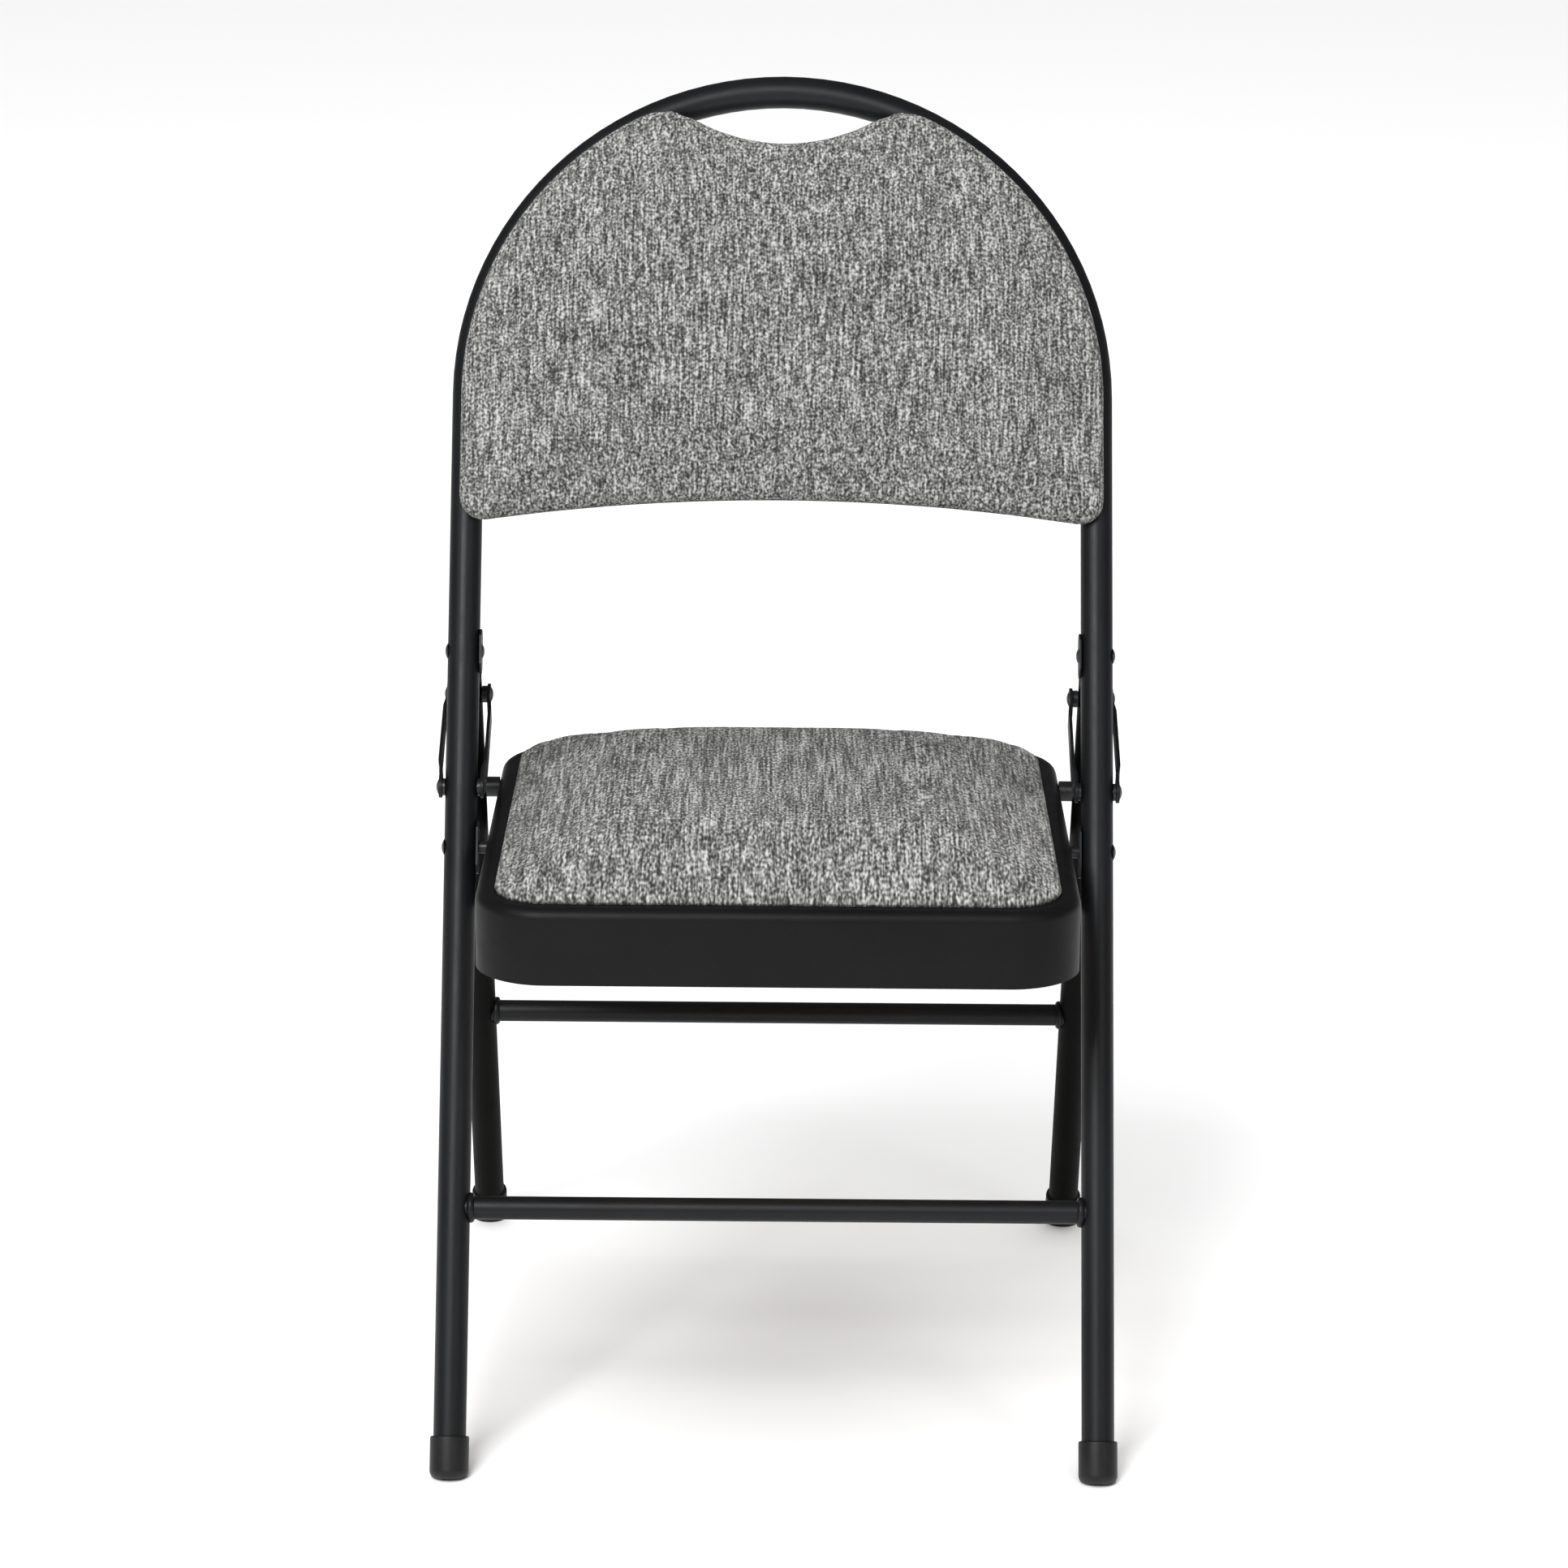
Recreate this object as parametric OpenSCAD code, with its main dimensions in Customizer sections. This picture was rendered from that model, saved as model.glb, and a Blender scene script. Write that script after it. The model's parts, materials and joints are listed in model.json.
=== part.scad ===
// Padded folding chair: a bent-tube frame with an arched top, a pressed steel seat pan
// that swings up, and a rear leg frame that follows it on two pairs of links.
// X runs across the chair, Y towards its back, Z up. The origin is on the floor, half way
// between the front and the rear feet.

/* [Stance] */
// Distance between the front and the rear feet
foot_span = 489.4; // [430:0.1:590]
// Lean of the front tubes from vertical, in degrees
front_lean = 24.36; // [20:0.01:26]
// Lean of the rear legs from vertical, in degrees
rear_lean = 23.67; // [20:0.01:26]
// Length of a front tube from the floor to the start of the arch, along the tube
leg_length = 748.9; // [740:0.1:900]

/* [Tubes] */
// Outer diameter of the frame tubes
tube_d = 22.2; // [18:0.1:24]
// Wall of the frame tubes
tube_wall = 1.2; // [1:0.1:2]
// Outer diameter of the crossbars
bar_d = 15.9; // [12:0.1:18]
// Wall of the crossbars
bar_wall = 1.2; // [1:0.1:2]
// Height of the front crossbar above the floor
front_bar_z = 165.9; // [130:0.1:200]
// Height of the rear crossbar above the floor
rear_bar_z = 196.5; // [160:0.1:230]
// Distance of the tube ends from the floor, along the tube
tube_end = 9; // [8:0.5:14]

/* [Seat] */
// Width of the seat pan
seat_w = 400; // [330:1:480]
// Depth of the seat pan
seat_d = 410; // [340:1:430]
// Height of the seat pan's top edge
seat_z = 405; // [370:1:430]
// Height of the seat pan's side
pan_h = 52; // [44:1:60]
// Distance of the seat's front edge behind the front feet
seat_setback = -8.5; // [-10:0.5:10]
// Sheet thickness of the seat pan
pan_wall = 1.5; // [1:0.1:2]
// Plan radius of the front corners
front_corner_r = 48; // [42:1:60]
// Plan radius of the rear corners
rear_corner_r = 52; // [42:1:80]
// Radius of the rolled top edge
roll_r = 8; // [4:0.5:10]
// Width of the steel shoulder around the cushion
shoulder_w = 12; // [9:0.5:16]
// Width of the ledge that carries the seat board
ledge_w = 22; // [16:1:28]
// Thickness of the seat board
seat_board_t = 8; // [6:0.5:10]
// Height of the seat cushion above the pan
seat_crown = 31; // [14:1:36]

/* [Backrest] */
// Tube that shows outside the backrest's edge
back_reveal = 7; // [4:0.5:9]
// Drop of the backrest's arc below the tube's
back_drop = 3.2; // [0:0.2:6]
// Distance of the backrest's lower corners from the floor, along the frame
back_low = 657; // [640:1:700]
// Rise of the lower edge at its middle
back_arch = 15; // [0:1:20]
// Radius of the lower corners
back_corner_r = 16; // [8:1:24]
// Radius of the hand notch
notch_r = 125; // [90:1:140]
// Height of the finger gap between the notch and the tube
finger_gap = 30.5; // [20:0.5:40]
// Thickness of the plywood back board
back_board_t = 5; // [4:0.5:8]
// Thickness of the back cushion
back_pad_t = 15; // [10:1:25]

/* [Linkage] */
// Distance of the seat pivot below the pan's top edge
seat_pivot_drop = 13.7; // [13:0.1:18]
// Distance of the rear leg pivot below the pan's top edge
leg_pivot_drop = 10; // [8:0.1:18]
// Height of the link's frame pivot above the pan's top edge
link_pivot_rise = 24.4; // [20:0.1:32]
// Height of the link's rear leg pivot above the pan's top edge
leg_link_rise = 67.5; // [62:0.1:80]
// Width of the link plates
link_w = 15; // [12:0.5:17]
// Thickness of the link plates
link_t = 2.2; // [1.5:0.1:2.6]
// Step between a link strip's ends and its middle
joggle = 1.5; // [0.5:0.1:1.8]
// Diameter of the rivets
rivet_d = 6; // [5:0.1:7]
// Diameter of the rivet heads
head_d = 11; // [9:0.5:11]
// Height of the rivet heads
head_h = 1.8; // [1.2:0.1:2]
// Space between the seat's side and the rear leg
seat_gap = 9.8; // [9.5:0.1:14]
// Axial gap between plates that turn on each other
run_gap = 0.25; // [0.2:0.05:0.3]
// Radial clearance of rivets in their holes
rivet_fit = 0.06; // [0.04:0.01:0.1]

/* [Feet] */
// Outer diameter of the rubber foot caps
cap_d = 26.5; // [25.5:0.1:29]
// Distance of a cap's rim from the floor, along the tube
cap_top = 28; // [22:1:36]

/* [Hidden] */
$fn = 64;

// Small fits
touch = 0.05;      // parts of one body that meet face to face
tube_fit = 0.1;    // caps and welded bars against a tube
fabric_t = 0.6;    // fabric wrapped round the back board's edge
far = 400;         // longer than anything it cuts
past = 1;          // a cut runs this far past the face that it opens

// Spaces between the sides of the seat, the links and the tubes
head_space = 1.7;       // seat's side to the head of a link's inner rivet
tube_space = 1.8;       // inner link to the front tube
leg_over = 17;          // rear leg above its link pivot, along the tube

// Rivets' spacers, and screws
rivet_hole = rivet_d + 2 * rivet_fit;
spacer_d = 12;          // between a link and a tube
leg_spacer_d = 14.5;    // between the seat and a rear leg
sleeve_d = 8.4;         // between the seat and a front tube
screw_d = 4.8;          // backrest screws
screw_head_d = 9.5;
seat_screw_d = 4;
seat_screw_head_d = 8.5;
seat_pilot_d = 4.2;     // their holes in the seat board
seat_screw_end = 95;    // from the seat's front and rear edges
low_screw_rise = 32;    // lower backrest screws above the backrest's low corners
high_screw_rise = 40;   // upper ones above the start of the arch
recess_w = 1.1;         // cross recess
screw_dome = 2.6;       // height of a screw's head

// Plates on the inner side of the front tubes
stop_rise = 111;        // upper rivet above the pan's top edge
stop_l = 30;
plate_l = 36;
plate_w = 18;
plate_t = 1.4;
plate_cut = 5;          // cut corners

// Link strips: each end is flat for joggle_flat, then steps out over joggle_run
joggle_flat = 0.75 * link_w;
joggle_run = 9;

// Rubber caps, plugs and weld beads
cap_end = -1;           // where a cap would end without its flat sole
cap_round = 6;          // radius around a cap's lower edge
rim_r = 1.4;            // radius of a cap's rim
plug_l = 7;
plug_dome = 3;
plug_edge = 0.3;        // tube end that shows around a plug's dome
bead_r = 2.4;
bead_in = 0.6;          // bead's middle from the tube's side

// Backrest and seat
horn_r = 19;            // radius of the two horns beside the hand notch
board_inset = 3;        // back board inside the cushion's outline
cover_t = 1.2;
hem_w = 8;              // hem turned in under the pan
pad_edge = 7;           // straight side of the seat cushion above the pan's top edge
pad_steps = [20, 42];   // the cushion's two dome steps, in from the shoulder
pad_drop = 3;           // height between them

// Half-distances from the middle plane, from the seat outwards
tube_r = tube_d / 2;
pan_x = seat_w / 2;
rear_x = pan_x + seat_gap + tube_r;          // rear leg axis
rear_in_x = rear_x - tube_r;
rear_out_x = rear_x + tube_r;
inner_head_x = pan_x + head_space;           // inner faces of the link heads
inner_link_x = inner_head_x + head_h + run_gap;
inner_clear_x = inner_link_x + link_t + run_gap;
front_in_x = inner_clear_x + tube_space;
front_x = front_in_x + tube_r;               // front tube axis
front_out_x = front_x + tube_r;
outer_link_x = rear_out_x + run_gap;
outer_head_x = outer_link_x + link_t + run_gap;
// Inside the pan, just clear of its rolled edge, for the head of the rear leg's rivet
head_rise = max(0, head_d / 2 - leg_pivot_drop + roll_r);
leg_head_x = pan_x - roll_r + sqrt(pow(roll_r - pan_wall, 2) - pow(head_rise, 2)) - touch;

// The seat, in the row's Y
front_y = -foot_span / 2;
rear_y = foot_span / 2;
seat_y0 = front_y + seat_setback;
seat_y1 = seat_y0 + seat_d;
pan_z0 = seat_z - pan_h;
ledge_z = seat_z - seat_board_t + touch;

// A height becomes a distance along a leaning tube, and a point on its axis
function along_front(z) = z / cos(front_lean);
function along_rear(z) = z / cos(rear_lean);
function front_at(z) = [front_y + z * tan(front_lean), z];
function rear_at(z) = [rear_y - z * tan(rear_lean), z];

// The four pivots, as [y, z]
seat_pivot = front_at(seat_z - seat_pivot_drop);
leg_pivot = rear_at(seat_z - leg_pivot_drop);
link_pivot = front_at(seat_z + link_pivot_rise);
leg_link = rear_at(seat_z + leg_link_rise);
link_step = leg_link - link_pivot;
link_len = norm(link_step);
link_tilt = atan2(link_step[1], link_step[0]);
leg_top = along_rear(leg_link[1]) + leg_over;

// The backrest, on the frame's own plane: x across, s along the tubes
arch_r = front_x;
back_r = arch_r + tube_r - back_reveal;
back_s = leg_length - back_drop;             // centre of its arc
notch_s = leg_length + arch_r - tube_r - finger_gap;
back_face = -tube_r - fabric_t;              // rear face of the back board
back_screw_s = [back_low + low_screw_rise, leg_length + high_screw_rise];
stop_pivot = front_at(seat_z + stop_rise);

// ---------- frames of reference ----------
// The front frame's plane: z runs along the tubes, y points out of its back
module on_front() translate([0, front_y, 0]) rotate([-front_lean, 0, 0]) children();

// The rear leg frame's plane: z runs up along the legs
module on_rear() translate([0, rear_y, 0]) rotate([rear_lean, 0, 0]) children();

// At a pivot given as [y, z], with z turned to run along +X
module at_pivot(p) translate([0, p[0], p[1]]) rotate([90, 0, 90]) children();

// The same piece on the left and on the right
module both_sides() {
    children();
    mirror([1, 0, 0]) children();
}

module one_side(side) mirror([side < 0 ? 1 : 0, 0, 0]) children();

// ---------- common shapes ----------
// A plain pin along X, from x0 to x1, through a pivot
module cross_pin(p, d, x0, x1) at_pivot(p) translate([0, 0, x0]) cylinder(d = d, h = x1 - x0);

// A washer or sleeve along X
module cross_ring(p, d, bore, x0, x1) difference() {
    cross_pin(p, d, x0, x1);
    cross_pin(p, bore, x0 - past, x1 + past);
}

// A low domed rivet head on the plane at height 0
module rivet_head(d = head_d, h = head_h) rotate_extrude() intersection() {
    ball_r = (d * d / 4 + h * h) / (2 * h);
    translate([0, h - ball_r]) circle(r = ball_r, $fn = 128);
    square([d / 2, h]);
}

// A rivet along X through a pivot, with a head outside each end
module rivet(p, x0, x1, d = rivet_d) {
    cross_pin(p, d, x0 - head_h / 2, x1 + head_h / 2);
    at_pivot(p) translate([0, 0, x1]) rivet_head();
    at_pivot(p) translate([0, 0, x0]) mirror([0, 0, 1]) rivet_head();
}

// A screw along +Z, its domed head with a cross recess below height 0
module screw(head, d, l) difference() {
    union() {
        mirror([0, 0, 1]) rivet_head(head, screw_dome);
        cylinder(d = d, h = l);
    }
    for (a = [0, 90]) rotate(a) translate([0, 0, -screw_dome])
        cube([head / 2, recess_w, screw_dome], center = true);
}

// Edge-on outline of a link strip: its ends lie at x = 0, and its middle steps out by joggle
module joggled_edge() {
    a = joggle_flat;
    b = a + joggle_run;
    c = link_len - b;
    d = link_len - a;
    polygon([[-link_w, 0], [a, 0], [b, joggle], [c, joggle], [d, 0], [link_len + link_w, 0],
        [link_len + link_w, link_t], [d, link_t], [c, joggle + link_t],
        [b, joggle + link_t], [a, link_t], [-link_w, link_t]]);
}

// A steel strip with two round ends between the link's two pivots. way is 1 where its
// middle steps out, away from the seat, and -1 where it steps in
module link_plate(x0, way) difference() {
    translate([way > 0 ? x0 : x0 + link_t, link_pivot[0], link_pivot[1]])
        mirror([way > 0 ? 0 : 1, 0, 0]) rotate([90, 0, 90]) rotate(link_tilt) intersection() {
            translate([0, 0, -past]) linear_extrude(joggle + link_t + 2 * past) {
                circle(d = link_w);
                translate([link_len, 0]) circle(d = link_w);
                translate([0, -link_w / 2]) square([link_len, link_w]);
            }
            rotate([90, 0, 0]) linear_extrude(2 * link_w, center = true) joggled_edge();
        }
    for (p = [link_pivot, leg_link]) cross_pin(p, rivet_hole, x0 - past, x0 + link_t + past);
}

// A rubber cap around a tube's lower end, moulded flat where it stands on the floor
module foot_cap(lean) intersection() {
    rotate([-lean, 0, 0]) difference() {
        rotate_extrude() {
            translate([0, cap_end + cap_round])
                square([cap_d / 2, cap_top - cap_end - cap_round - rim_r]);
            translate([0, cap_top - rim_r]) square([cap_d / 2 - rim_r, rim_r]);
            translate([cap_d / 2 - rim_r, cap_top - rim_r]) circle(r = rim_r);
            translate([0, cap_end]) square([cap_d / 2 - cap_round, cap_round]);
            translate([cap_d / 2 - cap_round, cap_end + cap_round]) circle(r = cap_round);
        }
        translate([0, 0, tube_end - touch]) cylinder(d = tube_d + 2 * tube_fit, h = far);
    }
    translate([-far / 2, -far / 2, 0]) cube(far);
}

// A crossbar along X at y = 0, coped to two tubes at x = reach, with its weld beads
module welded_bar(reach) difference() {
    union() {
        rotate([0, 90, 0]) cylinder(d = bar_d, h = 2 * reach, center = true);
        both_sides() translate([reach - tube_r - bead_in, 0, 0]) rotate([0, 90, 0])
            rotate_extrude() translate([bar_d / 2, 0]) circle(r = bead_r, $fn = 24);
    }
    both_sides() translate([reach, 0, -far / 2]) cylinder(d = tube_d + 2 * tube_fit, h = far);
    rotate([0, 90, 0]) cylinder(d = bar_d - 2 * bar_wall, h = 2 * (reach + past), center = true);
}

// ---------- front frame ----------
module front_frame_outline(d) {
    both_sides() translate([front_x, 0, tube_end]) cylinder(d = d, h = leg_length - tube_end);
    translate([0, 0, leg_length]) rotate([90, 0, 0])
        rotate_extrude(angle = 180, $fn = 160) translate([arch_r, 0]) circle(d = d);
}

module front_frame() color([0.13, 0.13, 0.14]) difference() {
    on_front() difference() {
        front_frame_outline(tube_d);
        front_frame_outline(tube_d - 2 * tube_wall);
        both_sides() translate([front_x, 0, tube_end - past])
            cylinder(d = tube_d - 2 * tube_wall, h = 2 * past);
        back_screw_places() cylinder(d = screw_d + 2 * rivet_fit, h = far, center = true);
    }
    both_sides() for (p = [seat_pivot, link_pivot, stop_pivot])
        cross_pin(p, rivet_hole, pan_x, front_out_x + past);
}

module front_crossbar() color([0.12, 0.12, 0.13])
    on_front() translate([0, 0, along_front(front_bar_z)]) welded_bar(front_x);

module front_foot_cap(side) color([0.07, 0.07, 0.07]) one_side(side)
    translate([front_x, front_y, 0]) foot_cap(front_lean);

module front_foot_cap_left() front_foot_cap(-1);
module front_foot_cap_right() front_foot_cap(1);

// ---------- backrest ----------
// Places of the backrest screws: z points forward along each screw
module back_screw_places() both_sides() for (s = back_screw_s)
    translate([s > leg_length ? sqrt(pow(arch_r, 2) - pow(s - leg_length, 2)) : arch_r, 0, s])
        rotate([90, 0, 0]) children();

// Outline of the backrest, smaller all round by inset
module back_outline(inset) offset(r = -inset, $fn = 96) round_horns() difference() {
    union() {
        translate([0, back_s]) circle(r = back_r, $fn = 160);
        hull() both_sides() {
            translate([back_r - back_corner_r, back_low + back_corner_r])
                circle(r = back_corner_r, $fn = 48);
            translate([back_r - past, back_s - past]) square(past);
        }
    }
    translate([0, notch_s + notch_r]) circle(r = notch_r, $fn = 160);
    lower_r = (pow(back_r - back_corner_r, 2) + pow(back_arch, 2)) / (2 * back_arch);
    if (back_arch > 0) translate([0, back_low + back_arch - lower_r])
        circle(r = lower_r, $fn = 360);
}

// Rounds the two horns beside the hand notch
module round_horns() offset(r = horn_r, $fn = 64) offset(r = -horn_r) children();

module back_layer(inset, y0, t) translate([0, y0, 0]) rotate([90, 0, 0])
    linear_extrude(t) back_outline(inset);

module back_board() color([0.72, 0.58, 0.4]) on_front() difference() {
    back_layer(board_inset, back_face, back_board_t);
    back_screw_places() cylinder(d = screw_d + 2 * rivet_fit, h = far);
}

module back_cushion() color([0.5, 0.5, 0.5]) on_front()
    back_layer(0, back_face - back_board_t - fabric_t / 2, back_pad_t);

// Lining on the back of the board, between the tubes
module back_rear_cover() color([0.4, 0.4, 0.4]) on_front()
    back_layer(back_r - arch_r + tube_r + past, back_face + cover_t + touch, cover_t);

module back_screws() color([0.1, 0.1, 0.1]) on_front() back_screw_places()
    translate([0, 0, -tube_r - touch]) screw(screw_head_d, screw_d, tube_d + back_board_t);

// ---------- small plates and rivets on the front tubes ----------
// A flat plate with cut corners, flush with the inner side of a front tube
module tube_plate(p, l, bore) difference() {
    w = plate_w / 2;
    h = l / 2;
    c = plate_cut;
    translate([front_in_x - plate_t - touch, p[0], p[1]]) rotate([-front_lean, 0, 0])
        rotate([90, 0, 90]) linear_extrude(plate_t)
            polygon([[-w, c - h], [c - w, -h], [w - c, -h], [w, c - h],
                [w, h - c], [w - c, h], [c - w, h], [-w, h - c]]);
    cross_pin(p, bore, front_in_x - plate_t - past, front_in_x + past);
}

module stop_plates() color([0.11, 0.11, 0.12])
    both_sides() tube_plate(stop_pivot, stop_l, rivet_hole);

module stop_rivets() color([0.09, 0.09, 0.1]) both_sides()
    rivet(stop_pivot, front_in_x - plate_t - 2 * touch, front_out_x + touch);

module seat_pivot_plates() color([0.11, 0.11, 0.12])
    both_sides() tube_plate(seat_pivot, plate_l, rivet_hole);

module seat_pivot_rivets() color([0.09, 0.09, 0.1]) both_sides()
    rivet(seat_pivot, pan_x - pan_wall - run_gap, front_out_x + touch);

module link_frame_rivets() color([0.09, 0.09, 0.1]) both_sides()
    rivet(link_pivot, inner_link_x - run_gap, outer_head_x);

module link_frame_spacers() color([0.1, 0.1, 0.11]) both_sides() {
    cross_ring(link_pivot, spacer_d, rivet_hole, inner_clear_x, front_in_x - touch);
    cross_ring(link_pivot, spacer_d, rivet_hole, front_out_x + touch, outer_link_x - run_gap);
}

// ---------- seat ----------
// Plan of the seat pan, smaller all round by inset
module pan_plan(inset) {
    f = front_corner_r - inset;
    r = rear_corner_r - inset;
    x = pan_x - inset;
    y0 = seat_y0 + inset;
    y1 = seat_y1 - inset;
    polygon([[-x + f, y0], [x - f, y0], [x, y0 + f], [x, y1 - r],
        [x - r, y1], [-x + r, y1], [-x, y1 - r], [-x, y0 + f]]);
    both_sides() {
        translate([x - f, y0 + f]) circle(r = f);
        translate([x - r, y1 - r]) circle(r = r);
    }
}

module pan_prism(inset, z0, z1) translate([0, 0, z0]) linear_extrude(z1 - z0) pan_plan(inset);

module pan_ring(inset, w, z0, z1) difference() {
    pan_prism(inset, z0, z1);
    pan_prism(inset + w, z0 - past, z1 + past);
}

// Solid block of the pan with its rolled top edge, smaller by inset on every side
module pan_block(inset, z0) {
    roll = roll_r - inset;
    top = seat_z - inset;
    module corner_post(x, y, r) translate([x, y, 0]) {
        translate([0, 0, z0]) cylinder(r = r - inset, h = top - roll - z0, $fn = 64);
        translate([0, 0, top - roll]) rotate_extrude($fn = 64)
            translate([r - inset - roll, 0]) circle(r = roll, $fn = 24);
    }
    hull() both_sides() {
        corner_post(pan_x - front_corner_r, seat_y0 + front_corner_r, front_corner_r);
        corner_post(pan_x - rear_corner_r, seat_y1 - rear_corner_r, rear_corner_r);
    }
}

seat_screw_inset = shoulder_w + pan_wall + ledge_w / 2;

module seat_screw_places() both_sides()
    for (y = [seat_y0 + seat_screw_end, seat_y1 - seat_screw_end])
        translate([pan_x - seat_screw_inset, y, ledge_z]) children();

module seat_pan() color([0.13, 0.13, 0.13]) difference() {
    union() {
        difference() {
            pan_block(0, pan_z0);
            pan_block(pan_wall, pan_z0 - past);
            pan_prism(shoulder_w + pan_wall / 2, seat_z - roll_r, seat_z + past);
        }
        pan_ring(shoulder_w, pan_wall, ledge_z - pan_wall, seat_z - pan_wall / 2);
        pan_ring(shoulder_w, ledge_w, ledge_z - pan_wall, ledge_z);
        pan_ring(pan_wall / 2, hem_w, pan_z0, pan_z0 + pan_wall);
    }
    for (p = [seat_pivot, leg_pivot])
        cross_pin(p, rivet_hole, -pan_x - past, pan_x + past);
    seat_screw_places() cylinder(d = seat_screw_d + 0.6, h = far, center = true);
}

module seat_board() color([0.7, 0.56, 0.38]) difference() {
    pan_prism(shoulder_w + pan_wall + 1, ledge_z + touch, ledge_z + touch + seat_board_t);
    seat_screw_places() cylinder(d = seat_pilot_d, h = seat_board_t - 1);
}

module seat_cushion() color([0.5, 0.5, 0.5]) hull() {
    pan_prism(shoulder_w + pan_wall + 1, seat_z + fabric_t / 2, seat_z + pad_edge);
    pan_prism(shoulder_w + pad_steps[0], seat_z + pad_edge, seat_z + seat_crown - pad_drop);
    pan_prism(shoulder_w + pad_steps[1], seat_z + pad_edge, seat_z + seat_crown);
}

module seat_screws() color([0.3, 0.3, 0.32]) seat_screw_places()
    translate([0, 0, -pan_wall - touch]) screw(seat_screw_head_d, seat_screw_d, seat_board_t - 1);

// ---------- pivots on the seat ----------
module seat_pivot_sleeves() color([0.1, 0.1, 0.11]) both_sides()
    cross_ring(seat_pivot, sleeve_d, rivet_hole, pan_x + run_gap, front_in_x - plate_t - 2 * touch);

module leg_pivot_rivets() color([0.09, 0.09, 0.1]) both_sides()
    rivet(leg_pivot, leg_head_x, rear_out_x + run_gap);

module leg_pivot_spacers() color([0.1, 0.1, 0.11]) both_sides()
    cross_ring(leg_pivot, leg_spacer_d, rivet_hole, pan_x + touch, rear_in_x - run_gap);

// ---------- rear leg frame ----------
module rear_leg(side) color([0.12, 0.12, 0.13]) one_side(side) difference() {
    on_rear() translate([rear_x, 0, tube_end]) difference() {
        cylinder(d = tube_d, h = leg_top - tube_end);
        translate([0, 0, -past]) cylinder(d = tube_d - 2 * tube_wall, h = leg_top);
    }
    for (p = [leg_pivot, leg_link]) cross_pin(p, rivet_hole, rear_in_x - past, rear_out_x + past);
}

module rear_leg_left() rear_leg(-1);
module rear_leg_right() rear_leg(1);

// Plugs that close the legs' upper ends
module rear_leg_plugs() color([0.08, 0.08, 0.08]) both_sides() on_rear()
    translate([rear_x, 0, leg_top]) {
        translate([0, 0, -plug_l])
            cylinder(d = tube_d - 2 * (tube_wall + tube_fit), h = plug_l + touch);
        translate([0, 0, touch]) rivet_head(tube_d - 2 * plug_edge, plug_dome);
    }

module rear_crossbar() color([0.12, 0.12, 0.13])
    on_rear() translate([0, 0, along_rear(rear_bar_z)]) welded_bar(rear_x);

module rear_foot_cap(side) color([0.07, 0.07, 0.07]) one_side(side)
    translate([rear_x, rear_y, 0]) foot_cap(-rear_lean);

module rear_foot_cap_left() rear_foot_cap(-1);
module rear_foot_cap_right() rear_foot_cap(1);

// The part of the link's rear rivet that stays in the leg
module leg_link_pins() color([0.09, 0.09, 0.1]) both_sides()
    cross_pin(leg_link, rivet_d, inner_clear_x, rear_out_x + touch);

module leg_link_spacers() color([0.1, 0.1, 0.11]) both_sides()
    cross_ring(leg_link, spacer_d, rivet_hole, inner_clear_x, rear_in_x - touch);

// ---------- links ----------
module outer_link(side) color([0.11, 0.11, 0.12]) one_side(side) link_plate(outer_link_x, 1);
module inner_link(side) color([0.11, 0.11, 0.12]) one_side(side) link_plate(inner_link_x, -1);
module outer_link_left() outer_link(-1);
module outer_link_right() outer_link(1);
module inner_link_left() inner_link(-1);
module inner_link_right() inner_link(1);

// The heads of the link's rear rivet, which stay with the link plates
module leg_link_heads() color([0.09, 0.09, 0.1]) both_sides() {
    cross_pin(leg_link, rivet_d, inner_link_x - touch, inner_link_x + link_t);
    at_pivot(leg_link) translate([0, 0, inner_link_x - touch]) mirror([0, 0, 1]) rivet_head();
    cross_pin(leg_link, rivet_d, outer_link_x, outer_link_x + link_t + touch);
    at_pivot(leg_link) translate([0, 0, outer_link_x + link_t + touch]) rivet_head();
}

front_frame();
front_crossbar();
front_foot_cap_left();
front_foot_cap_right();
back_board();
back_cushion();
back_rear_cover();
back_screws();
stop_plates();
stop_rivets();
seat_pivot_plates();
seat_pivot_rivets();
link_frame_rivets();
link_frame_spacers();
seat_pan();
seat_board();
seat_cushion();
seat_screws();
seat_pivot_sleeves();
leg_pivot_rivets();
leg_pivot_spacers();
rear_leg_left();
rear_leg_right();
rear_leg_plugs();
rear_crossbar();
rear_foot_cap_left();
rear_foot_cap_right();
leg_link_pins();
leg_link_spacers();
outer_link_left();
outer_link_right();
inner_link_left();
inner_link_right();
leg_link_heads();
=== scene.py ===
# %% [markdown]
# # A padded folding chair
#
# The chair is a bent steel tube, a pressed steel seat pan, two pads of grey fabric and a rear
# leg frame that folds on flat links. Its hard pieces are loaded at their true places. This
# lesson gives them their finishes, and makes the two pads as surfaces of numpy arrays.

# %% Load the frame and the tools
import json

import bpy
import numpy as np
from mathutils import Euler, Matrix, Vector
from mathutils.kdtree import KDTree


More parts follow.
